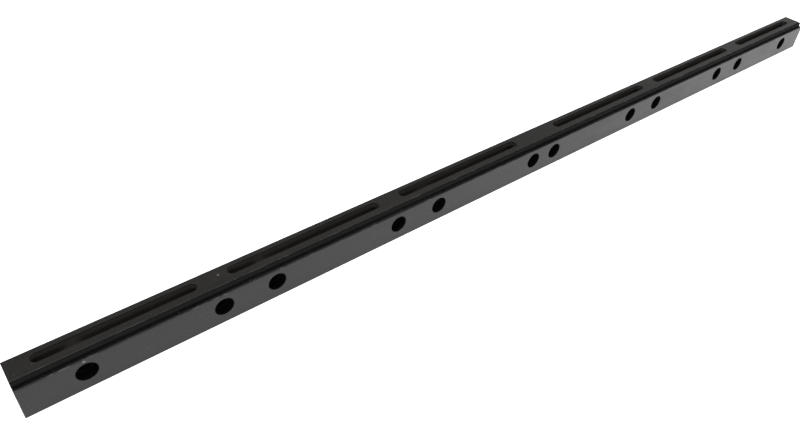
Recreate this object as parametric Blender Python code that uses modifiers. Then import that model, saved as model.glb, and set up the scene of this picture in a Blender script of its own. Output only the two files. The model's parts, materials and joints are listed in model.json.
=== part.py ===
"""Full-length linear guide: a holed guide rail, the slotted carriage that runs on it, and two rows
of caged balls between them.

Frame: X along the guide (the carriage opens towards -X), +Y to the rear, +Z up. The origin is the
centre of the guide's footprint, on the surface it rests on. The mounting holes are in the rail's
front face, at -Y, and the carriage's six mounting slots are in its top.
"""
import math

import bmesh
import bpy
from mathutils import Matrix, Vector

# ---- driving dimensions, in metres ----------------------------------------------------------
LENGTH = 0.650
DEPTH = 0.0165
HEIGHT = 0.0218
STROKE = 0.280
GAP = 0.0003                      # clearance kept between neighbouring pieces
OVERSHOOT = 0.0010                # how far a cutter runs past the surface it opens

FRONT_Y = -DEPTH / 2
REAR_Y = DEPTH / 2
HALF_LENGTH = LENGTH / 2

# guide rail: a flat web with a raceway head on its back
WEB_THICKNESS = 0.0028
WEB_TOP = HEIGHT - 0.0029
WEB_BACK = FRONT_Y + WEB_THICKNESS
AXIS_Z = HEIGHT / 2               # mid-height of the head, and the line of the mounting holes
HEAD_HALF = 0.0066
HEAD_BACK = -0.0003
HOLE_POSITIONS = (0.0098, 0.0899, 0.1199, 0.1988, 0.2286, 0.2959)
MOUTH_RADIUS = 0.0052
MOUTH_DEPTH = 0.0046
THREAD_RADIUS = 0.0034            # core of an M8 thread

# carriage: a C section that wraps the head
CARRIAGE_FRONT = WEB_BACK + 0.0008
CAVITY_HALF = 0.0078
REAR_WALL = 0.0024
CAVITY_BACK = REAR_Y - REAR_WALL
SLOT_Y = 0.0022
SLOT_WIDTH = 0.0056
SLOT_SPANS = ((0.0180, 0.1120), (0.1270, 0.2205), (0.2370, 0.3145))
EDGE_RADIUS = 0.0005

# caged balls
BALL_RADIUS = 0.0015
RACEWAY_RADIUS = BALL_RADIUS + 0.00025
RACEWAY_Y = -0.0026
BALL_RISE = (HEAD_HALF + CAVITY_HALF) / 2    # ball centres above and below the axis line
BALLS_PER_ROW = 14
BALL_PITCH = 0.024
CAGE_LENGTH = 0.340
CAGE_WIDTH = 0.0042
CAGE_THICKNESS = 0.0005
POCKET_RADIUS = BALL_RADIUS + 0.00025

# side seals
SEAL_GROOVE_DEPTH = 0.0009
SEAL_GROOVE_WIDTH = 0.0012
SEAL_GROOVE_EDGE = 0.0006         # from a groove to the carriage's top or underside
UPPER_GROOVE = (HEIGHT - SEAL_GROOVE_EDGE - SEAL_GROOVE_WIDTH, HEIGHT - SEAL_GROOVE_EDGE)
LOWER_GROOVE = (SEAL_GROOVE_EDGE, SEAL_GROOVE_EDGE + SEAL_GROOVE_WIDTH)
UPPER_SEAL_FRONT = -0.0059
UPPER_SEAL_DROP = 0.0002          # from the carriage's top down to the seal's
UPPER_SEAL_ROUND = 0.0003

# end plugs, bumpers, stops and screws
PLUG_LENGTH = 0.0100
PLUG_RECESS = 0.0005
PLUG_FRONT = HEAD_BACK + 0.0004
BUMPER_LENGTH = 0.0020
BUMPER_RADIUS = 0.0024
BUMPER_ROUND = 0.0008
BUMPER_Y = 0.0029
STOP_HEAD_RADIUS = 0.00225
STOP_HEAD_BACK = 0.0030
STOP_HEAD_CHAMFER = 0.0003
STOP_SHANK_RADIUS = 0.0015
STOP_SHANK_DEPTH = 0.0032
SCREW_HEAD_RADIUS = 0.00275
SCREW_SHANK_RADIUS = 0.0015
SCREW_HEAD_DEPTH = 0.00155
SCREW_SINK = 0.0001               # from the carriage's rear face down to a screw head
SCREW_LENGTH = 0.0060
SCREW_END_ROOM = 0.0006
SCREW_RISE = 0.0040               # plug screws sit this far above and below the axis line
SOCKET_RADIUS = 0.0010
SOCKET_DEPTH = 0.0009

ROUND_STEPS = 24
HOLE_STEPS = 40
ARC_STEPS = 8
SLOT_END_STEPS = 12

# local x, y, z of a flat outline become world Y, Z, X, so an outline is a section across the guide
SECTION_TO_WORLD = Matrix(((0, 0, 1, 0), (1, 0, 0, 0), (0, 1, 0, 0), (0, 0, 0, 1)))
TOWARDS_REAR = Matrix.Rotation(math.radians(-90), 4, "X")
TOWARDS_FRONT = Matrix.Rotation(math.radians(90), 4, "X")
TOWARDS_FAR = Matrix.Rotation(math.radians(90), 4, "Y")
TOWARDS_NEAR = Matrix.Rotation(math.radians(-90), 4, "Y")


# ---- scene and materials --------------------------------------------------------------------
def clear_scene():
    for obj in list(bpy.data.objects):
        bpy.data.objects.remove(obj, do_unlink=True)


def new_collection(name):
    collection = bpy.data.collections.new(name)
    bpy.context.scene.collection.children.link(collection)
    return collection


def new_material(name, colour, roughness, metallic):
    material = bpy.data.materials.new(name)
    material.use_nodes = True
    shader = material.node_tree.nodes["Principled BSDF"]
    shader.inputs["Base Color"].default_value = (*colour, 1.0)
    shader.inputs["Roughness"].default_value = roughness
    shader.inputs["Metallic"].default_value = metallic
    return material


clear_scene()
PARTS = new_collection("linear_guide")
CUTTERS = new_collection("cutters")

RAIL_BLACK = new_material("rail_black_anodised", (0.040, 0.040, 0.043), 0.42, 0.6)
CARRIAGE_BLACK = new_material("carriage_black_anodised", (0.032, 0.032, 0.033), 0.50, 0.6)
SEAL_RUBBER = new_material("seal_rubber", (0.012, 0.012, 0.012), 0.80, 0.0)
CAGE_BRASS = new_material("cage_brass", (0.55, 0.40, 0.16), 0.38, 1.0)
BALL_STEEL = new_material("ball_steel", (0.60, 0.60, 0.62), 0.12, 1.0)
PLUG_PLASTIC = new_material("plug_plastic", (0.018, 0.018, 0.018), 0.60, 0.0)
SCREW_STEEL = new_material("screw_black_steel", (0.070, 0.070, 0.075), 0.35, 0.9)


# ---- shape helpers --------------------------------------------------------------------------
def add_object(name, mesh, material, parent, location=(0, 0, 0)):
    """Put a mesh in the model as one named piece."""
    obj = bpy.data.objects.new(name, mesh)
    obj.location = Vector(location) - parent.location
    obj.parent = parent
    if not mesh.materials:
        mesh.materials.append(material)
    PARTS.objects.link(obj)
    return obj


def add_cutter(name, mesh, collection):
    """Put a mesh in a collection of cutters, shown as a wire and left out of the model."""
    obj = bpy.data.objects.new(name, mesh)
    obj.display_type = "WIRE"
    obj.hide_render = True
    collection.objects.link(obj)
    return obj


def cutter_group(name):
    group = bpy.data.collections.new(name)
    CUTTERS.children.link(group)
    return group


def cut_with(obj, group):
    modifier = obj.modifiers.new("cuts", "BOOLEAN")
    modifier.operation = "DIFFERENCE"
    modifier.solver = "EXACT"
    modifier.operand_type = "COLLECTION"
    modifier.collection = group


def smooth_rounds(mesh, angle=35):
    mesh.shade_smooth()
    mesh.set_sharp_from_angle(angle=math.radians(angle))


def arc(centre, radius, start, end, steps=ARC_STEPS):
    """Points on an arc from one angle to another, in degrees, both ends included."""
    angles = [math.radians(start + (end - start) * i / steps) for i in range(steps + 1)]
    return [(centre[0] + radius * math.cos(a), centre[1] + radius * math.sin(a)) for a in angles]


def obround(start, end, centre, width):
    """Slot outline with round ends, from start to end along the first axis."""
    radius = width / 2
    far_end = arc((end - radius, centre), radius, -90, 90, SLOT_END_STEPS)
    near_end = arc((start + radius, centre), radius, 90, 270, SLOT_END_STEPS)
    return far_end + near_end


def extruded(name, outlines, thickness, matrix):
    """Flat outline, with any holes in it, given a thickness centred on its plane."""
    curve = bpy.data.curves.new(name, "CURVE")
    curve.dimensions = "2D"
    curve.fill_mode = "BOTH"
    curve.extrude = thickness / 2
    for outline in outlines:
        spline = curve.splines.new("POLY")
        spline.points.add(len(outline) - 1)
        for point, (x, y) in zip(spline.points, outline):
            point.co = (x, y, 0, 1)
        spline.use_cyclic_u = True
    holder = bpy.data.objects.new(name, curve)
    bpy.context.scene.collection.objects.link(holder)
    graph = bpy.context.evaluated_depsgraph_get()
    mesh = bpy.data.meshes.new_from_object(holder.evaluated_get(graph))
    bpy.data.objects.remove(holder)
    bpy.data.curves.remove(curve)
    mesh.name = name
    bm = bmesh.new()
    bm.from_mesh(mesh)
    bmesh.ops.remove_doubles(bm, verts=bm.verts, dist=1e-6)
    bmesh.ops.recalc_face_normals(bm, faces=bm.faces)
    bm.to_mesh(mesh)
    bm.free()
    mesh.transform(matrix)
    return mesh


def cylinder(name, radius, start, length, direction, segments=ROUND_STEPS):
    """Closed cylinder from a start point along a direction matrix's Z."""
    bm = bmesh.new()
    bmesh.ops.create_cone(bm, cap_ends=True, segments=segments, radius1=radius, radius2=radius,
                          depth=length, matrix=Matrix.Translation((0, 0, length / 2)))
    mesh = bpy.data.meshes.new(name)
    bm.to_mesh(mesh)
    bm.free()
    mesh.transform(Matrix.Translation(start) @ direction)
    return mesh


def turned(name, profile, start, direction, steps=ROUND_STEPS):
    """Solid of revolution. The profile is (radius, height) from the top of the axis to the bottom."""
    mesh = bpy.data.meshes.new(name + "_profile")
    bm = bmesh.new()
    verts = [bm.verts.new((radius, 0, height)) for radius, height in profile]
    for upper, lower in zip(verts, verts[1:]):
        bm.edges.new((upper, lower))
    bm.to_mesh(mesh)
    bm.free()
    holder = bpy.data.objects.new(name, mesh)
    bpy.context.scene.collection.objects.link(holder)
    screw = holder.modifiers.new("turn", "SCREW")
    screw.steps = steps
    screw.render_steps = steps
    screw.use_merge_vertices = True
    screw.merge_threshold = 1e-6
    graph = bpy.context.evaluated_depsgraph_get()
    solid = bpy.data.meshes.new_from_object(holder.evaluated_get(graph))
    bpy.data.objects.remove(holder)
    bpy.data.meshes.remove(mesh)
    solid.name = name
    solid.transform(Matrix.Translation(start) @ direction)
    smooth_rounds(solid)
    return solid


def body_frame(name, location):
    """Empty that stands for one moving body, on the line its pieces slide along."""
    empty = bpy.data.objects.new(name, None)
    empty.location = location
    empty.empty_display_size = 0.02
    PARTS.objects.link(empty)
    return empty


# ---- guide rail -----------------------------------------------------------------------------
def raceway(side, inward):
    """Groove outline on one side of the head or cavity, from front to rear.

    side is +1 for the upper ball row and -1 for the lower one. inward is True for the groove in
    the rail's head, which lies on the axis side of the balls, and False for the carriage's.
    """
    flat = HEAD_HALF if inward else CAVITY_HALF
    centre = (RACEWAY_Y, AXIS_Z + side * BALL_RISE)
    mouth = math.degrees(math.asin(abs(BALL_RISE - flat) / RACEWAY_RADIUS))
    if (side > 0) == inward:
        return arc(centre, RACEWAY_RADIUS, 180 + mouth, 360 - mouth)
    return arc(centre, RACEWAY_RADIUS, 180 - mouth, mouth)


def rail_outline():
    bottom_edge = arc((FRONT_Y + EDGE_RADIUS, EDGE_RADIUS), EDGE_RADIUS, 180, 270, 3)
    top_edge = arc((FRONT_Y + EDGE_RADIUS, WEB_TOP - EDGE_RADIUS), EDGE_RADIUS, 90, 180, 3)
    head_low = AXIS_Z - HEAD_HALF
    head_high = AXIS_Z + HEAD_HALF
    outline = bottom_edge + [(WEB_BACK, 0), (WEB_BACK, head_low)]
    outline += raceway(-1, True)
    outline += [(HEAD_BACK, head_low), (HEAD_BACK, head_high)]
    outline += list(reversed(raceway(1, True)))
    outline += [(WEB_BACK, head_high), (WEB_BACK, WEB_TOP)]
    return outline + top_edge


def stop_positions():
    """X of the rail's two stop screws: closed position at the near end, open position mid-rail."""
    bumper_face = HALF_LENGTH - PLUG_RECESS - PLUG_LENGTH - GAP - BUMPER_LENGTH
    reach = GAP + STOP_HEAD_RADIUS
    return {"near": -bumper_face + reach, "mid": bumper_face - STROKE - reach}


def make_guide_rail(parent):
    mesh = extruded("guide_rail", [rail_outline()], LENGTH, SECTION_TO_WORLD)
    rail = add_object("guide_rail", mesh, RAIL_BLACK, parent)
    group = cutter_group("rail_holes")
    depth = HEAD_BACK - FRONT_Y + OVERSHOOT
    profile = [(0, OVERSHOOT), (MOUTH_RADIUS, OVERSHOOT), (MOUTH_RADIUS, -MOUTH_DEPTH),
               (THREAD_RADIUS, -MOUTH_DEPTH), (THREAD_RADIUS, -depth), (0, -depth)]
    for side in (-1, 1):
        for position in HOLE_POSITIONS:
            start = (side * position, FRONT_Y, AXIS_Z)
            hole = turned("mounting_hole", profile, start, TOWARDS_FRONT, HOLE_STEPS)
            add_cutter("mounting_hole", hole, group)
    for x in stop_positions().values():
        start = (x, HEAD_BACK + OVERSHOOT, AXIS_Z)
        depth = STOP_SHANK_DEPTH + GAP + OVERSHOOT
        bore = cylinder("stop_bore", STOP_SHANK_RADIUS + GAP, start, depth, TOWARDS_FRONT)
        add_cutter("stop_bore", bore, group)
    cut_with(rail, group)


def make_stop_screw(name, x, parent):
    """Cheese-head screw in the back of the head, whose head stops the carriage's bumper."""
    head_low = HEAD_BACK + GAP
    profile = [(0, STOP_HEAD_BACK), (STOP_HEAD_RADIUS - STOP_HEAD_CHAMFER, STOP_HEAD_BACK),
               (STOP_HEAD_RADIUS, STOP_HEAD_BACK - STOP_HEAD_CHAMFER), (STOP_HEAD_RADIUS, head_low),
               (STOP_SHANK_RADIUS, head_low), (STOP_SHANK_RADIUS, -STOP_SHANK_DEPTH),
               (0, -STOP_SHANK_DEPTH)]
    mesh = turned(name, profile, (x, 0, AXIS_Z), TOWARDS_REAR)
    screw = add_object(name, mesh, SCREW_STEEL, parent)
    group = cutter_group(name + "_socket")
    start = (x, STOP_HEAD_BACK - SOCKET_DEPTH, AXIS_Z)
    socket = cylinder("socket", SOCKET_RADIUS, start, SOCKET_DEPTH + OVERSHOOT, TOWARDS_REAR, 6)
    add_cutter("socket", socket, group)
    cut_with(screw, group)


# ---- carriage -------------------------------------------------------------------------------
def carriage_outline():
    ceiling = AXIS_Z + CAVITY_HALF
    floor = AXIS_Z - CAVITY_HALF
    groove_back = CARRIAGE_FRONT + SEAL_GROOVE_DEPTH
    corner = EDGE_RADIUS
    outline = [(CARRIAGE_FRONT, 0)]
    outline += arc((REAR_Y - corner, corner), corner, -90, 0, 3)
    outline += arc((REAR_Y - corner, HEIGHT - corner), corner, 0, 90, 3)
    outline += [(CARRIAGE_FRONT + GAP, HEIGHT), (CARRIAGE_FRONT, HEIGHT - GAP)]
    outline += [(CARRIAGE_FRONT, UPPER_GROOVE[1]), (groove_back, UPPER_GROOVE[1])]
    outline += [(groove_back, UPPER_GROOVE[0]), (CARRIAGE_FRONT, UPPER_GROOVE[0])]
    outline += [(CARRIAGE_FRONT, ceiling)] + raceway(1, False)
    outline += [(CAVITY_BACK, ceiling), (CAVITY_BACK, floor)]
    outline += list(reversed(raceway(-1, False))) + [(CARRIAGE_FRONT, floor)]
    outline += [(CARRIAGE_FRONT, LOWER_GROOVE[1]), (groove_back, LOWER_GROOVE[1])]
    outline += [(groove_back, LOWER_GROOVE[0]), (CARRIAGE_FRONT, LOWER_GROOVE[0])]
    return outline


def screw_places():
    """Name and place of each of the four plug screws, at the rear face."""
    plug_middle = HALF_LENGTH - PLUG_RECESS - PLUG_LENGTH / 2
    for end, sign in (("near", -1), ("far", 1)):
        for level, rise in (("lower", -SCREW_RISE), ("upper", SCREW_RISE)):
            yield f"plug_screw_{end}_{level}", (sign * plug_middle, REAR_Y, AXIS_Z + rise)


def make_carriage(parent):
    mesh = extruded("carriage", [carriage_outline()], LENGTH, SECTION_TO_WORLD)
    carriage = add_object("carriage", mesh, CARRIAGE_BLACK, parent)
    group = cutter_group("carriage_cuts")
    wall = HEIGHT - AXIS_Z - CAVITY_HALF
    lift = Matrix.Translation((0, 0, HEIGHT - wall / 2))
    for start, end in SLOT_SPANS:
        for span in ((start, end), (-end, -start)):
            slot = extruded("slot", [obround(*span, SLOT_Y, SLOT_WIDTH)], 2 * wall, lift)
            add_cutter("slot", slot, group)
    for name, (x, y, z) in screw_places():
        head, shank = SCREW_HEAD_RADIUS + GAP, SCREW_SHANK_RADIUS + GAP
        depth = REAR_WALL + OVERSHOOT
        profile = [(0, OVERSHOOT), (head, OVERSHOOT), (head, -SCREW_SINK),
                   (shank, -SCREW_HEAD_DEPTH), (shank, -depth), (0, -depth)]
        sink = turned("countersink", profile, (x, y, z), TOWARDS_REAR)
        add_cutter("countersink", sink, group)
    cut_with(carriage, group)


def make_upper_seal(parent):
    """Black lip seal along the carriage's front edge, wiping the top of the rail's web."""
    tongue_low = UPPER_GROOVE[0] + GAP
    tongue_high = UPPER_GROOVE[1] - GAP
    tongue_back = CARRIAGE_FRONT + SEAL_GROOVE_DEPTH - GAP
    face_back = CARRIAGE_FRONT - GAP
    low = WEB_TOP + GAP
    high = HEIGHT - UPPER_SEAL_DROP
    centre = (UPPER_SEAL_FRONT + UPPER_SEAL_ROUND, high - UPPER_SEAL_ROUND)
    edge = arc(centre, UPPER_SEAL_ROUND, 90, 180, 3)
    outline = [(face_back, low), (face_back, tongue_low), (tongue_back, tongue_low),
               (tongue_back, tongue_high), (face_back, tongue_high), (face_back, high)]
    outline += edge + [(UPPER_SEAL_FRONT, low)]
    mesh = extruded("upper_side_seal", [outline], LENGTH, SECTION_TO_WORLD)
    add_object("upper_side_seal", mesh, SEAL_RUBBER, parent)


def make_lower_seal(parent):
    """Flat strip seal between the carriage's lower jaw and the back of the web."""
    low = LOWER_GROOVE[0] + GAP
    high = LOWER_GROOVE[1] - GAP
    back = CARRIAGE_FRONT + SEAL_GROOVE_DEPTH - GAP
    front = WEB_BACK + GAP
    outline = [(front, low), (back, low), (back, high), (front, high)]
    mesh = extruded("lower_side_seal", [outline], LENGTH, SECTION_TO_WORLD)
    add_object("lower_side_seal", mesh, SEAL_RUBBER, parent)


def make_end_plug(name, sign, parent):
    """Block that closes one end of the carriage's cavity behind the rail's head."""
    half = CAVITY_HALF - GAP
    back = CAVITY_BACK - GAP
    outline = [(PLUG_FRONT, AXIS_Z - half), (back, AXIS_Z - half),
               (back, AXIS_Z + half), (PLUG_FRONT, AXIS_Z + half)]
    middle = sign * (HALF_LENGTH - PLUG_RECESS - PLUG_LENGTH / 2)
    place = Matrix.Translation((middle, 0, 0)) @ SECTION_TO_WORLD
    plug = add_object(name, extruded(name, [outline], PLUG_LENGTH, place), PLUG_PLASTIC, parent)
    group = cutter_group(name + "_holes")
    for rise in (-SCREW_RISE, SCREW_RISE):
        start = (middle, back + OVERSHOOT, AXIS_Z + rise)
        depth = start[1] - (REAR_Y - SCREW_LENGTH - SCREW_END_ROOM)
        hole = cylinder("screw_hole", SCREW_SHANK_RADIUS + GAP, start, depth, TOWARDS_FRONT)
        add_cutter("screw_hole", hole, group)
    cut_with(plug, group)


def make_plug_screw(name, place, parent):
    """Countersunk screw through the rear wall into an end plug."""
    x, y, z = place
    profile = [(0, -SCREW_SINK), (SCREW_HEAD_RADIUS, -SCREW_SINK),
               (SCREW_SHANK_RADIUS, -SCREW_HEAD_DEPTH - GAP), (SCREW_SHANK_RADIUS, -SCREW_LENGTH),
               (0, -SCREW_LENGTH)]
    screw = add_object(name, turned(name, profile, place, TOWARDS_REAR), SCREW_STEEL, parent)
    group = cutter_group(name + "_socket")
    start = (x, y - SCREW_SINK - SOCKET_DEPTH, z)
    socket = cylinder("socket", SOCKET_RADIUS, start, SOCKET_DEPTH + OVERSHOOT, TOWARDS_REAR, 6)
    add_cutter("socket", socket, group)
    cut_with(screw, group)


def make_bumper(name, sign, parent):
    """Domed rubber buffer on an end plug's inner face."""
    edge = arc((BUMPER_RADIUS - BUMPER_ROUND, BUMPER_LENGTH - BUMPER_ROUND), BUMPER_ROUND, 90, 0, 4)
    profile = [(0, BUMPER_LENGTH)] + edge + [(BUMPER_RADIUS, 0), (0, 0)]
    x = sign * (HALF_LENGTH - PLUG_RECESS - PLUG_LENGTH - GAP)
    direction = TOWARDS_NEAR if sign > 0 else TOWARDS_FAR
    add_object(name, turned(name, profile, (x, BUMPER_Y, AXIS_Z), direction), SEAL_RUBBER, parent)


# ---- caged balls ----------------------------------------------------------------------------
def make_cage(name, side, parent):
    """Flat strip with a round pocket for each ball."""
    half = CAGE_LENGTH / 2
    low = RACEWAY_Y - CAGE_WIDTH / 2
    high = RACEWAY_Y + CAGE_WIDTH / 2
    outlines = [[(-half, low), (half, low), (half, high), (-half, high)]]
    for x in ball_places():
        outlines.append(arc((x, RACEWAY_Y), POCKET_RADIUS, 0, 360, ROUND_STEPS)[:-1])
    place = Matrix.Translation((0, 0, AXIS_Z + side * BALL_RISE))
    add_object(name, extruded(name, outlines, CAGE_THICKNESS, place), CAGE_BRASS, parent)


def ball_places():
    middle = (BALLS_PER_ROW - 1) / 2
    return [(i - middle) * BALL_PITCH for i in range(BALLS_PER_ROW)]


def ball_mesh():
    mesh = bpy.data.meshes.new("ball")
    bm = bmesh.new()
    bmesh.ops.create_uvsphere(bm, u_segments=16, v_segments=8, radius=BALL_RADIUS)
    bm.to_mesh(mesh)
    bm.free()
    mesh.shade_smooth()
    return mesh


def make_balls(row, side, mesh, parent):
    for number, x in enumerate(ball_places(), start=1):
        place = (x, RACEWAY_Y, AXIS_Z + side * BALL_RISE)
        add_object(f"ball_{row}_{number:02d}", mesh, BALL_STEEL, parent, place)


# ---- assembly -------------------------------------------------------------------------------
def build():
    rail_frame = body_frame("rail_frame", (0, 0, AXIS_Z))
    make_guide_rail(rail_frame)
    for place, x in stop_positions().items():
        make_stop_screw(f"rail_stop_screw_{place}", x, rail_frame)

    slide_frame = body_frame("carriage_slide_frame", (0, RACEWAY_Y, AXIS_Z))
    make_carriage(slide_frame)
    make_upper_seal(slide_frame)
    make_lower_seal(slide_frame)
    for end, sign in (("near", -1), ("far", 1)):
        make_end_plug(f"end_plug_{end}", sign, slide_frame)
        make_bumper(f"bumper_{end}", sign, slide_frame)
    for name, place in screw_places():
        make_plug_screw(name, place, slide_frame)

    ball = ball_mesh()
    for row, side in (("upper", 1), ("lower", -1)):
        cage_frame = body_frame(f"{row}_cage_slide_frame", (0, RACEWAY_Y, AXIS_Z + side * BALL_RISE))
        make_cage(f"{row}_ball_cage", side, cage_frame)
        make_balls(row, side, ball, cage_frame)


build()
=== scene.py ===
"""Looks for the full-length linear guide: materials, fine edges, studio and camera.

Everything is in metres in the frame's own axes: X along the guide, -Y towards the holed front
face, +Z up. Places come from the frame's boxes, and the CAD solids themselves stay where they are.
"""

import json
import math

import bpy
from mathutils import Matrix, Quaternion, Vector


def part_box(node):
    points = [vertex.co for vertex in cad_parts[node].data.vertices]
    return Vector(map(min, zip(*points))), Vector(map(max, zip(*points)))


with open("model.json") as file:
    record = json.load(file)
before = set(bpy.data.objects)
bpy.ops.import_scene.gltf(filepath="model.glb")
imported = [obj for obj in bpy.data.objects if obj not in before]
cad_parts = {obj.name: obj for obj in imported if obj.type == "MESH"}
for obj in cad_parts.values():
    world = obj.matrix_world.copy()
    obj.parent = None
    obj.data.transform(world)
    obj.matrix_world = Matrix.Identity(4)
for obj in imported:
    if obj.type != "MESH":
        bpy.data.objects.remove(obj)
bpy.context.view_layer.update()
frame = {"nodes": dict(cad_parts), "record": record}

RAIL_LOW, RAIL_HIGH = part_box("guide_rail")
CARRIAGE_LOW, CARRIAGE_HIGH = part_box("carriage")
UPPER_CAGE_LOW, UPPER_CAGE_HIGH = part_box("upper_ball_cage")
LOWER_CAGE_LOW, LOWER_CAGE_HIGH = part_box("lower_ball_cage")
BALL_LOW, BALL_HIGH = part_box("ball_upper_01")

# the rail's holes: their places each side of the middle, their mouths' radius, and the y of the
# back of the rail's head
OPENINGS = frame["record"]["physics"]["openings"]
HOLES = [opening["box_m"] for opening in OPENINGS if opening["name"].startswith("mounting_hole")]
HOLE_X = sorted({round(abs(low[0] + high[0]) / 2, 5) for low, high in HOLES})
HOLE_Z = (HOLES[0][0][2] + HOLES[0][1][2]) / 2
HOLE_RADIUS = 0.0052
HEAD_BACK = -0.0003

# the carriage's slots
SLOTS = [opening["box_m"] for opening in OPENINGS if opening["name"].startswith("mounting_slot")]
SLOT_NEAR_ENDS = sorted(low[0] for low, high in SLOTS)
SLOT_Y = (SLOTS[0][0][1] + SLOTS[0][1][1]) / 2

BALL_RADIUS = (BALL_HIGH.z - BALL_LOW.z) / 2
RACEWAY_Y = (BALL_LOW.y + BALL_HIGH.y) / 2
UPPER_ROW_Z = (UPPER_CAGE_LOW.z + UPPER_CAGE_HIGH.z) / 2
LOWER_ROW_Z = (LOWER_CAGE_LOW.z + LOWER_CAGE_HIGH.z) / 2

BALLS = [name for name in frame["nodes"] if name.startswith("ball_")]
CAGES = ["upper_ball_cage", "lower_ball_cage"]
SEALS = ["upper_side_seal", "lower_side_seal"]
BUMPERS = ["bumper_near", "bumper_far"]
PLUGS = ["end_plug_near", "end_plug_far"]
SCREWS = [name for name in frame["nodes"] if "screw" in name]

# camera, found by matching the guide's edges and holes
CAMERA_PLACE = (-0.3202, -0.2420, 0.2756)
CAMERA_LOOK = (0.49838, 0.58007, -0.64431)
CAMERA_ROLL = 3.92
LENS_MM = 32.23
SENSOR_MM = 36.0

# studio: the floor's side in metres, the sky's grey by height from horizon 0 to overhead 1,
# and the paper's own light
FLOOR_SIZE = 40.0
SKY = ((0.0, 1.00), (0.12, 0.95), (0.34, 0.85), (0.48, 0.32), (0.70, 0.11), (1.0, 0.15))
PAPER_GLOW = 1.02

# linear colours mixed into the black finish: worn metal and dust that show through it, the metal also as
# painted highlights, and painted shade for the rail's hole walls
BARE_METAL = (0.42, 0.42, 0.43)
DUST = (0.20, 0.19, 0.17)
HOLE_PAINTED_SHADE = (0.004, 0.004, 0.004)

# surface marks, in metres, with chipped spots that also paint highlights, and where a ball track's ground
# metal fades out, in ball radii
WEAR_REACH = 0.0006
NICK_GLINT_RADIUS = 0.0008
MARK_RELIEF = 0.00002
TRACK_FADE = (1.170, 1.185)

# fine edges: bevel widths in metres, the reach that joins shared corners, and angles in degrees
EDGE_WIDTHS = {"guide_rail": 0.00015, "carriage": 0.00015}
EDGE_WIDTHS.update({name: 0.00030 for name in PLUGS})
EDGE_WIDTHS.update({name: 0.00006 for name in SEALS + SCREWS + BUMPERS})
EDGE_WIDTHS.update({name: 0.00005 for name in CAGES})
EDGE_SEGMENTS = 2
JOIN_REACH = 0.000005
FLAT_ANGLE = 1
SHARP_ANGLE = 40


# ---- node helpers ---------------------------------------------------------------------------
class Shading:
    """Builds one material's node tree in metres of the row's own space."""

    def __init__(self, name):
        self.material = bpy.data.materials.new(name)
        self.material.use_nodes = True
        self.tree = self.material.node_tree
        self.shader = self.tree.nodes["Principled BSDF"]
        self.place = self.add("ShaderNodeTexCoord").outputs["Object"]
        self.normal = self.add("ShaderNodeNewGeometry").outputs["Normal"]

    def add(self, kind, inputs=None, **settings):
        """A node with its settings, and inputs given as values or as sockets to link."""
        node = self.tree.nodes.new(kind)
        for key, value in settings.items():
            setattr(node, key, value)
        for key, value in (inputs or {}).items():
            if isinstance(value, bpy.types.NodeSocket):
                self.tree.links.new(value, node.inputs[key])
            else:
                node.inputs[key].default_value = value
        return node

    def square(self, value):
        return self.math("MULTIPLY", value, value)

    def math(self, operation, a, b=0.0, clamp=False):
        node = self.add("ShaderNodeMath", {0: a, 1: b}, operation=operation, use_clamp=clamp)
        return node.outputs[0]

    def axis(self, name, vector=None):
        source = self.place if vector is None else vector
        return self.add("ShaderNodeSeparateXYZ", {0: source}).outputs[name]

    def remap(self, value, low, high, to_low=0.0, to_high=1.0, smooth=True):
        """Value mapped from one range to another, held at both ends."""
        kind = "SMOOTHSTEP" if smooth else "LINEAR"
        inputs = {"Value": value, "From Min": low, "From Max": high, "To Min": to_low, "To Max": to_high}
        return self.add("ShaderNodeMapRange", inputs, interpolation_type=kind).outputs["Result"]

    def noise(self, scale, stretch=(1, 1, 1), detail=3.0, roughness=0.55, offset=(0, 0, 0)):
        """Noise with so many features a metre, stretched along any axis with a low factor."""
        spread = tuple(scale * s for s in stretch)
        mapping = self.add("ShaderNodeMapping", {"Vector": self.place, "Scale": spread, "Location": offset})
        inputs = {"Vector": mapping.outputs[0], "Scale": 1.0, "Detail": detail, "Roughness": roughness}
        return self.add("ShaderNodeTexNoise", inputs).outputs["Fac"]

    def mix(self, factor, a, b):
        """Colour mixed from a to b by a factor."""
        node = self.add("ShaderNodeMix", data_type="RGBA")
        factor_socket, a_socket, b_socket = node.inputs[0], node.inputs[6], node.inputs[7]
        for socket, value in ((factor_socket, factor), (a_socket, a), (b_socket, b)):
            self.put(socket, value)
        return node.outputs[2]

    def put(self, socket, value):
        """Links a socket to another one, or sets it to a number or to a colour of three numbers."""
        if isinstance(value, bpy.types.NodeSocket):
            self.tree.links.new(value, socket)
        else:
            socket.default_value = (*value, 1.0) if isinstance(value, tuple) else value

    def distance_to_line(self, y, z):
        """Distance from a line along X at one y and z."""
        y_square = self.square(self.math("SUBTRACT", self.axis("Y"), y))
        z_square = self.square(self.math("SUBTRACT", self.axis("Z"), z))
        return self.math("SQRT", self.math("ADD", y_square, z_square))

    def bump(self, height, strength, distance):
        inputs = {"Height": height, "Strength": strength, "Distance": distance}
        return self.add("ShaderNodeBump", inputs).outputs[0]

    def finish(self, **inputs):
        """Links or sets the shader's inputs and returns the material."""
        for key, value in inputs.items():
            self.put(self.shader.inputs[key.replace("_", " ")], value)
        return self.material


# ---- masks ------------------------------------------------------------------------------------
def smaller(shade, values):
    """The least of several values."""
    least = values[0]
    for value in values[1:]:
        least = shade.math("MINIMUM", least, value)
    return least


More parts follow.
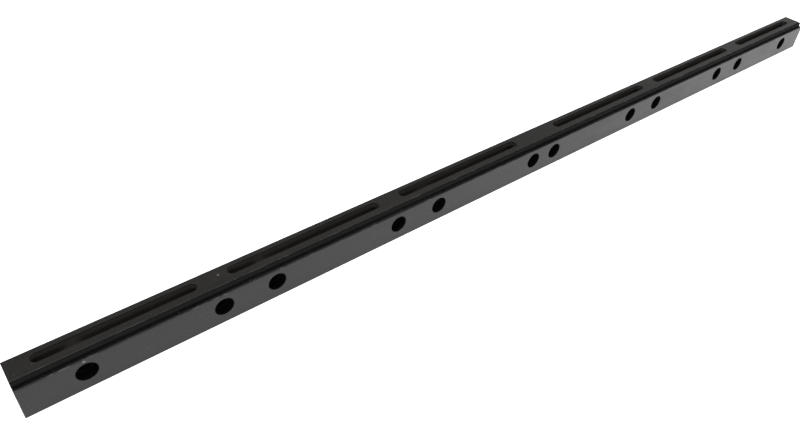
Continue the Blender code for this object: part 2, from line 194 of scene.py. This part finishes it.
def edge_wear(shade, edges, reach):
    """Mask that is 1 where the finish is rubbed thin along the given long edges and the ends."""
    end_distance = shade.math("SUBTRACT", RAIL_HIGH.x, shade.math("ABSOLUTE", shade.axis("X")))
    distance = smaller(shade, [shade.distance_to_line(y, z) for y, z in edges] + [end_distance])
    rubbed = shade.remap(distance, 0.0, reach, 1.0, 0.0)
    patchy = shade.remap(shade.noise(90, (1, 3, 3), 5.0), 0.44, 0.68)
    fine = shade.remap(shade.noise(900, (0.4, 1, 1), 2.0, offset=(3, 1, 2)), 0.35, 0.65)
    beside_end = shade.math("SUBTRACT", 1.0, end_face_mask(shade))
    rubbed = shade.math("MULTIPLY", rubbed, beside_end)
    return shade.math("MULTIPLY", rubbed, shade.math("MULTIPLY", patchy, fine))


def raceway_mask(shade):
    """Mask that is 1 in the ground ball tracks of the upper and lower rows."""
    distance = smaller(shade, [shade.distance_to_line(RACEWAY_Y, z) for z in (UPPER_ROW_Z, LOWER_ROW_Z)])
    fade_start, fade_end = (BALL_RADIUS * part for part in TRACK_FADE)
    return shade.remap(distance, fade_start, fade_end, 1.0, 0.0)


def hole_painted_shade_mask(shade):
    """Mask that is 1 on the walls of the rail's mounting holes, behind the front face, where near-black
    painted shade goes.
    """
    along = shade.math("ABSOLUTE", shade.axis("X"))
    x_part = smaller(shade, [shade.math("ABSOLUTE", shade.math("SUBTRACT", along, x)) for x in HOLE_X])
    z_part = shade.math("SUBTRACT", shade.axis("Z"), HOLE_Z)
    distance = shade.math("SQRT", shade.math("ADD", shade.square(x_part), shade.square(z_part)))
    inside = shade.remap(distance, HOLE_RADIUS * 1.01, HOLE_RADIUS * 1.05, 1.0, 0.0)
    behind = shade.remap(shade.axis("Y"), RAIL_LOW.y + 0.0001, RAIL_LOW.y + 0.0006)
    in_head = shade.remap(shade.axis("Y"), HEAD_BACK - 0.0004, HEAD_BACK - 0.0002, 1.0, 0.0)
    return shade.math("MULTIPLY", inside, shade.math("MULTIPLY", behind, in_head))


def inner_mask(shade):
    """Mask that is 1 on surfaces below the carriage's outer skin, inside its slots and channel."""
    depths = [shade.math("SUBTRACT", CARRIAGE_HIGH.z, shade.axis("Z")),
              shade.math("SUBTRACT", shade.axis("Z"), CARRIAGE_LOW.z),
              shade.math("SUBTRACT", CARRIAGE_HIGH.y, shade.axis("Y")),
              shade.math("SUBTRACT", shade.axis("Y"), CARRIAGE_LOW.y),
              shade.math("SUBTRACT", CARRIAGE_HIGH.x, shade.math("ABSOLUTE", shade.axis("X")))]
    return shade.remap(smaller(shade, depths), 0.0003, 0.0009)


def end_face_mask(shade):
    """Mask that is 1 on faces square to the guide, which are sawn."""
    return shade.remap(shade.math("ABSOLUTE", shade.axis("X", shade.normal)), 0.85, 0.95)


def nick_glint_mask(shade, places, radius):
    """Mask that is 1 in a few small bright chipped spots, whose worn metal also paints highlights."""
    distances = []
    for place in places:
        node = shade.add("ShaderNodeVectorMath", {0: shade.place, 1: place}, operation="DISTANCE")
        distances.append(node.outputs["Value"])
    nearest = smaller(shade, distances)
    ragged = shade.math("MULTIPLY", shade.math("SUBTRACT", shade.noise(1800), 0.5), radius * 1.6)
    return shade.remap(shade.math("ADD", nearest, ragged), radius * 0.5, radius, 1.0, 0.0)


# ---- materials ------------------------------------------------------------------------------
def anodised(name, dark, light, roughness, gloss, edges, nick_glint_places, inner_dust):
    """Satin black anodised extrusion: die lines along X, cloudy dye, worn edges, ground tracks, painted
    shade on the rail's hole walls, and chipped spots that also paint highlights.
    """
    shade = Shading(name)
    cloud = shade.remap(shade.noise(28, (0.5, 2, 2), 4.0), 0.3, 0.7)
    streak = shade.noise(2600, (0.006, 1, 1), 3.0, 0.65, offset=(7, 2, 5))
    broad_streak = shade.noise(700, (0.010, 1, 1), 2.0, 0.5, offset=(1, 8, 3))
    grain = shade.noise(5200, detail=2.0, offset=(4, 4, 9))
    tone = shade.math("MULTIPLY", cloud, shade.remap(broad_streak, 0.3, 0.7, 0.55, 1.0), clamp=True)
    colour = shade.mix(tone, dark, light)

    smudge = shade.remap(shade.noise(45, (0.6, 1.5, 1.5), 5.0, 0.6, offset=(9, 3, 1)), 0.45, 0.75)
    speck = shade.remap(shade.noise(1500, detail=1.0, offset=(2, 6, 4)), 0.70, 0.78)
    facing_up = shade.remap(shade.axis("Z", shade.normal), -0.6, 0.9, 0.15, 0.5)
    colour = shade.mix(shade.math("MULTIPLY", speck, facing_up), colour, DUST)

    wear = edge_wear(shade, edges, WEAR_REACH)
    colour = shade.mix(shade.math("MULTIPLY", wear, 0.35), colour, BARE_METAL)
    # chipped spots of worn metal, placed where they also paint highlights
    nick_glint = shade.math("MULTIPLY", nick_glint_mask(shade, nick_glint_places, NICK_GLINT_RADIUS), 0.4)
    track = raceway_mask(shade)
    bare_and_glint = shade.math("MAXIMUM", nick_glint, track)
    colour = shade.mix(bare_and_glint, colour, BARE_METAL)
    # painted shade: the rail's hole walls turn near black, with rougher, duller reflection
    hole_shade = hole_painted_shade_mask(shade)
    colour = shade.mix(hole_shade, colour, HOLE_PAINTED_SHADE)
    dusty = shade.math("MULTIPLY", inner_mask(shade), inner_dust)
    colour = shade.mix(dusty, colour, DUST)

    saw = shade.add("ShaderNodeTexWave", {"Vector": shade.place, "Scale": 700.0, "Distortion": 1.5,
                                          "Detail": 2.0}, wave_type="BANDS", bands_direction="DIAGONAL")
    surface = shade.math("ADD", shade.math("MULTIPLY", streak, 0.6), shade.math("MULTIPLY", grain, 0.4))
    relief = shade.mix(end_face_mask(shade), surface, saw.outputs["Fac"])

    rough = shade.remap(streak, 0.3, 0.7, roughness - 0.05, roughness + 0.07, smooth=False)
    rough = shade.math("ADD", rough, shade.math("MULTIPLY", smudge, 0.08))
    rough = shade.math("SUBTRACT", rough, shade.math("MULTIPLY", wear, 0.06))
    rough = shade.math("SUBTRACT", rough, shade.math("MULTIPLY", bare_and_glint, roughness - 0.22))
    rough = shade.math("ADD", rough, shade.math("MULTIPLY", hole_shade, 0.35), clamp=True)
    sheen = shade.remap(hole_shade, 0.0, 1.0, gloss, 0.04, smooth=False)
    metal = shade.math("MAXIMUM", shade.math("MULTIPLY", wear, 0.5), bare_and_glint)
    normal = shade.bump(relief, 0.35, MARK_RELIEF)
    return shade.finish(Base_Color=colour, Roughness=rough, Metallic=metal, Normal=normal,
                        Specular_IOR_Level=sheen)


def rubber(name):
    """Matt black seal rubber, slightly greyed by dust along its length, and near black as painted shadow of
    the gap between rail and carriage.
    """
    shade = Shading(name)
    bloom = shade.remap(shade.noise(120, (0.15, 1, 1), 4.0), 0.45, 0.75)
    # near-black colours, darker than plain rubber, paint the shadow of the gap where the seal sits
    colour = shade.mix(bloom, (0.0035, 0.0033, 0.0030), (0.0080, 0.0076, 0.0070))
    rough = shade.remap(bloom, 0.0, 1.0, 0.72, 0.88, smooth=False)
    skin = shade.noise(3800, detail=3.0, offset=(5, 1, 7))
    wiped = shade.noise(1400, (0.02, 1, 1), 2.0)
    height = shade.math("ADD", skin, wiped)
    return shade.finish(Base_Color=colour, Roughness=rough, Normal=shade.bump(height, 0.4, 0.00003),
                        Specular_IOR_Level=0.18)


def moulded_plastic(name):
    """Black glass-filled plastic with a fine spark texture and faint flow marks."""
    shade = Shading(name)
    flow = shade.noise(160, (1, 0.4, 2), 4.0)
    colour = shade.mix(shade.remap(flow, 0.3, 0.7), (0.008, 0.008, 0.009), (0.020, 0.020, 0.021))
    cells = shade.add("ShaderNodeTexVoronoi", {"Vector": shade.place, "Scale": 4200.0})
    rough = shade.remap(flow, 0.3, 0.7, 0.50, 0.66, smooth=False)
    normal = shade.bump(cells.outputs["Distance"], 0.35, 0.00004)
    return shade.finish(Base_Color=colour, Roughness=rough, Normal=normal)


def black_oxide(name):
    """Black oxide screw steel with an oily sheen and rubbed high spots."""
    shade = Shading(name)
    patch = shade.remap(shade.noise(700, detail=5.0), 0.4, 0.68)
    colour = shade.mix(patch, (0.030, 0.030, 0.034), (0.085, 0.082, 0.080))
    rough = shade.remap(shade.noise(1600, detail=3.0, offset=(1, 2, 3)), 0.3, 0.7, 0.28, 0.46, smooth=False)
    turning = shade.noise(5000, (1, 1, 1), 2.0)
    return shade.finish(Base_Color=colour, Roughness=rough, Metallic=0.85,
                        Normal=shade.bump(turning, 0.3, MARK_RELIEF))


def cage_brass(name):
    """Stamped brass strip: rolled grain along X, tarnish and a thin oil film."""
    shade = Shading(name)
    tarnish = shade.remap(shade.noise(150, (0.5, 1, 1), 5.0), 0.4, 0.7)
    colour = shade.mix(tarnish, (0.60, 0.42, 0.16), (0.34, 0.22, 0.08))
    grain = shade.noise(3000, (0.01, 1, 1), 3.0, 0.6)
    rough = shade.remap(grain, 0.3, 0.7, 0.24, 0.42, smooth=False)
    rough = shade.math("ADD", rough, shade.math("MULTIPLY", tarnish, 0.12), clamp=True)
    return shade.finish(Base_Color=colour, Roughness=rough, Metallic=1.0,
                        Normal=shade.bump(grain, 0.25, 0.00001))


def ball_steel(name):
    """Lapped bearing steel with faint running marks under a film of grease."""
    shade = Shading(name)
    film = shade.remap(shade.noise(900, detail=4.0), 0.4, 0.65)
    marks = shade.noise(6000, (0.3, 1, 1), 2.0)
    colour = shade.mix(film, (0.62, 0.62, 0.64), (0.46, 0.45, 0.43))
    rough = shade.math("ADD", shade.remap(marks, 0.3, 0.7, 0.06, 0.14, smooth=False),
                       shade.math("MULTIPLY", film, 0.14))
    return shade.finish(Base_Color=colour, Roughness=rough, Metallic=1.0,
                        Normal=shade.bump(marks, 0.1, 0.00001))


def give(names, material):
    """Puts one material on the named nodes."""
    for name in names:
        mesh = frame["nodes"][name].data
        mesh.materials.clear()
        mesh.materials.append(material)


def dress_nodes():
    """Every node's material."""
    front = RAIL_LOW.y
    rear = CARRIAGE_HIGH.y
    rail_finish = anodised(
        "rail_anodised", dark=(0.0050, 0.0045, 0.0047), light=(0.0088, 0.0081, 0.0084),
        roughness=0.30, gloss=0.35, inner_dust=0.0,
        edges=[(front, RAIL_LOW.z), (front, RAIL_HIGH.z)],
        # a chipped spot above the last hole that also paints a highlight
        nick_glint_places=[(-HOLE_X[-1], front, RAIL_HIGH.z - 0.0012)])
    carriage_finish = anodised(
        "carriage_anodised", dark=(0.0066, 0.0058, 0.0048), light=(0.0110, 0.0098, 0.0083),
        roughness=0.36, gloss=0.50, inner_dust=0.26,
        edges=[(rear, CARRIAGE_LOW.z), (rear, CARRIAGE_HIGH.z), (CARRIAGE_LOW.y, CARRIAGE_HIGH.z)],
        # a chipped spot before the second slot that also paints a highlight
        nick_glint_places=[(SLOT_NEAR_ENDS[1] - 0.006, SLOT_Y + 0.0005, CARRIAGE_HIGH.z)])
    give(["guide_rail"], rail_finish)
    give(["carriage"], carriage_finish)
    give(SEALS + BUMPERS, rubber("seal_rubber"))
    give(PLUGS, moulded_plastic("plug_plastic"))
    give(SCREWS, black_oxide("screw_black_oxide"))
    give(CAGES, cage_brass("cage_brass"))
    give(BALLS, ball_steel("ball_steel"))


# ---- fine edges on the CAD solids -------------------------------------------------------------
def join_faces(obj):
    """Lets a CAD node's separate faces share their corners."""
    mesh = obj.data
    mesh.shade_smooth()
    for attribute in ("custom_normal", "sharp_edge", "sharp_face"):
        if attribute in mesh.attributes:
            mesh.attributes.remove(mesh.attributes[attribute])
    weld = obj.modifiers.new("shared_corners", "WELD")
    weld.merge_threshold = JOIN_REACH


def soften(obj, width):
    """Small rounded edges that catch the light, without changing the solid's size."""
    join_faces(obj)
    flat = obj.modifiers.new("flat_faces", "DECIMATE")
    flat.decimate_type = "DISSOLVE"
    flat.angle_limit = math.radians(FLAT_ANGLE)
    bevel = obj.modifiers.new("fine_edges", "BEVEL")
    bevel.width = width
    bevel.segments = EDGE_SEGMENTS
    bevel.limit_method = "ANGLE"
    bevel.angle_limit = math.radians(SHARP_ANGLE)
    bevel.miter_outer = "MITER_ARC"
    even = obj.modifiers.new("even_shading", "WEIGHTED_NORMAL")
    even.keep_sharp = False


def round_ball(obj):
    """One level of subdivision, which takes the facets off a ball."""
    join_faces(obj)
    rounder = obj.modifiers.new("rounder", "SUBSURF")
    rounder.levels = 1
    rounder.render_levels = 1


def refine_shapes():
    for name, width in EDGE_WIDTHS.items():
        soften(frame["nodes"][name], width)
    for name in BALLS:
        round_ball(frame["nodes"][name])


# ---- studio and camera ------------------------------------------------------------------------
def make_floor():
    """Pale paper under the guide, reaching far past every view of it."""
    bpy.ops.mesh.primitive_grid_add(x_subdivisions=8, y_subdivisions=8, size=FLOOR_SIZE)
    floor = bpy.context.object
    floor.name = "studio_floor"
    mesh = floor.data
    shade = Shading("studio_paper")
    fibre = shade.noise(300, detail=3.0)
    colour = shade.mix(shade.remap(fibre, 0.3, 0.7), (0.86, 0.86, 0.86), (0.88, 0.88, 0.88))
    mesh.materials.append(shade.finish(Base_Color=colour, Roughness=0.9, Emission_Color=colour,
                                       Emission_Strength=PAPER_GLOW,
                                       Normal=shade.bump(fibre, 0.05, 0.0001)))


def area_light(name, place, size, power):
    """A rectangular soft light in watts, aimed at the middle of the guide."""
    light = bpy.data.lights.new(name, "AREA")
    light.shape = "RECTANGLE"
    light.size, light.size_y = size
    light.energy = power
    obj = bpy.data.objects.new(name, light)
    obj.location = place
    obj.rotation_euler = (-Vector(place)).to_track_quat("-Z", "Y").to_euler()
    bpy.context.scene.collection.objects.link(obj)


def make_sky():
    """A grey world whose tone varies with height."""
    world = bpy.data.worlds.new("studio")
    world.use_nodes = True
    tree = world.node_tree
    direction = tree.nodes.new("ShaderNodeTexCoord")
    height = tree.nodes.new("ShaderNodeSeparateXYZ")
    ramp = tree.nodes.new("ShaderNodeValToRGB")
    tree.links.new(direction.outputs["Generated"], height.inputs[0])
    tree.links.new(height.outputs["Z"], ramp.inputs[0])
    tree.links.new(ramp.outputs[0], tree.nodes["Background"].inputs["Color"])
    elements = ramp.color_ramp.elements
    for position, grey in SKY:
        element = elements[int(position)] if position in (0.0, 1.0) else elements.new(position)
        element.color = (grey, grey, grey, 1.0)
    bpy.context.scene.world = world


def make_studio():
    """White paper floor, grey sky and two soft lights, shown with plain tones so that white stays white."""
    bpy.context.scene.view_settings.view_transform = "Standard"
    make_floor()
    make_sky()
    area_light("overhead_soft", (0.0, -0.1, 2.4), (3.0, 1.8), 30.0)
    area_light("front_soft", (-0.9, -1.7, 1.5), (1.8, 1.2), 8.0)


def make_camera():
    """The photograph's view."""
    data = bpy.data.cameras.new("camera")
    data.sensor_fit = "HORIZONTAL"
    data.sensor_width = SENSOR_MM
    data.lens = LENS_MM
    data.clip_start = 0.01
    data.clip_end = 50.0
    camera = bpy.data.objects.new("camera", data)
    camera.rotation_mode = "QUATERNION"
    level = Vector(CAMERA_LOOK).to_track_quat("-Z", "Y")
    camera.rotation_quaternion = level @ Quaternion((0, 0, 1), math.radians(CAMERA_ROLL))
    camera.location = CAMERA_PLACE
    bpy.context.scene.collection.objects.link(camera)
    bpy.context.scene.camera = camera


def save_sizes():
    """Updates the view layer."""
    bpy.context.view_layer.update()


make_camera()
dress_nodes()
refine_shapes()
make_studio()
save_sizes()
